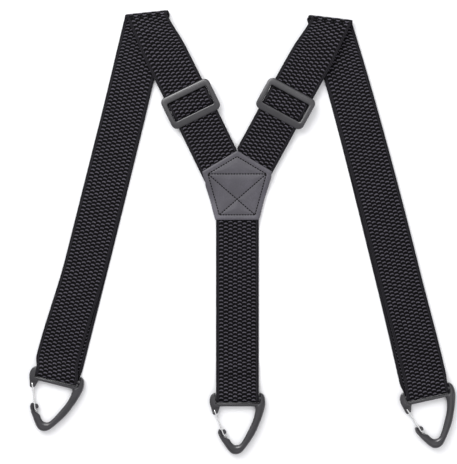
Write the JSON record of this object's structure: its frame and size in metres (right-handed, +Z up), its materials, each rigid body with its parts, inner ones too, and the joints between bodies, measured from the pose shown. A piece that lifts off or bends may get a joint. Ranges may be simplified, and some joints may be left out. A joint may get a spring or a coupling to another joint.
{
  "type": "suspenders",
  "caption": "Y-back suspenders of wide elastic webbing with a leather yoke, length sliders and wire-gate hooks, laid flat.",
  "frame": {"origin": "middle of the laid-out bounding box, on the surface it lies on", "axes": "+Y from the rear hook towards the shoulder folds, +X to the right seen from above, +Z up off the surface"},
  "size_m": [0.4974, 0.519, 0.013],
  "materials": {
    "webbing": "matte knitted elastic",
    "leather": "semi-gloss black leather",
    "slider_plastic": "satin moulded",
    "hook_plastic": "satin moulded",
    "gate_wire": "bright drawn wire"
  },
  "bodies": {
    "root": {"yoke_back_patch": "leather", "yoke_front_patch": "leather", "rear_strap": "webbing", "left_shoulder_bend_inner": "webbing", "left_shoulder_bend_outer": "webbing", "left_back_strap": "webbing", "left_return_strap": "webbing", "right_shoulder_bend_inner": "webbing", "right_shoulder_bend_outer": "webbing", "right_back_strap": "webbing", "right_return_strap": "webbing"},
    "left_front_strap": {"left_front_strap": "webbing"},
    "left_slider": {"left_slider_frame": "slider_plastic", "left_slider_webbing": "webbing", "left_slider_anchor": "webbing"},
    "right_front_strap": {"right_front_strap": "webbing"},
    "right_slider": {"right_slider_frame": "slider_plastic", "right_slider_webbing": "webbing", "right_slider_anchor": "webbing"},
    "rear_hook": {"rear_hook_body": "hook_plastic"},
    "rear_gate": {"rear_hook_gate": "gate_wire"},
    "left_hook": {"left_hook_body": "hook_plastic"},
    "left_gate": {"left_hook_gate": "gate_wire"},
    "right_hook": {"right_hook_body": "hook_plastic"},
    "right_gate": {"right_hook_gate": "gate_wire"}
  },
  "joints": [
    {"name": "left_shoulder_fold", "type": "hinge", "parent": "root", "child": "left_front_strap", "pos_m": [-0.11035, 0.25159, 0.0052], "axis": [0.9946, 0.1037, 0], "range_deg": [0, 180], "deforming": ["left_shoulder_bend_outer", "left_shoulder_bend_inner"]},
    {"name": "left_slider_slide", "type": "slide", "parent": "root", "child": "left_slider", "axis": [-0.4382, 0.8985, 0.0237], "range_m": [-0.045, 0.06], "deforming": ["left_return_strap"]},
    {"name": "right_shoulder_fold", "type": "hinge", "parent": "root", "child": "right_front_strap", "pos_m": [0.10225, 0.24549, 0.0052], "axis": [0.9927, -0.121, 0], "range_deg": [0, 180], "deforming": ["right_shoulder_bend_outer", "right_shoulder_bend_inner"]},
    {"name": "right_slider_slide", "type": "slide", "parent": "root", "child": "right_slider", "axis": [0.477, 0.8786, 0.0237], "range_m": [-0.045, 0.06], "deforming": ["right_return_strap"]},
    {"name": "rear_hook_swing", "type": "hinge", "parent": "root", "child": "rear_hook", "pos_m": [-0.00595, -0.19431, 0.0042], "axis": [1, 0, 0], "range_deg": [-100, 100]},
    {"name": "rear_gate_swing", "type": "hinge", "parent": "rear_hook", "child": "rear_gate", "pos_m": [-0.03275, -0.20781, 0.0042], "axis": [0, 0, 1], "range_deg": [0, 40], "stiffness_Nm_per_rad": 0.02, "springref_deg": -17.19},
    {"name": "left_hook_swing", "type": "hinge", "parent": "left_front_strap", "child": "left_hook", "pos_m": [-0.21608, -0.16934, 0.0042], "axis": [0.9699, -0.2436, 0], "range_deg": [-100, 100]},
    {"name": "left_gate_swing", "type": "hinge", "parent": "left_hook", "child": "left_gate", "pos_m": [-0.24536, -0.1759, 0.0042], "axis": [0, 0, 1], "range_deg": [0, 40], "stiffness_Nm_per_rad": 0.02, "springref_deg": -17.19},
    {"name": "right_hook_swing", "type": "hinge", "parent": "right_front_strap", "child": "right_hook", "pos_m": [0.21518, -0.18805, 0.0042], "axis": [0.9761, 0.2174, 0], "range_deg": [-100, 100]},
    {"name": "right_gate_swing", "type": "hinge", "parent": "right_hook", "child": "right_gate", "pos_m": [0.19195, -0.20705, 0.0042], "axis": [0, 0, 1], "range_deg": [0, 40], "stiffness_Nm_per_rad": 0.02, "springref_deg": -17.19}
  ]
}
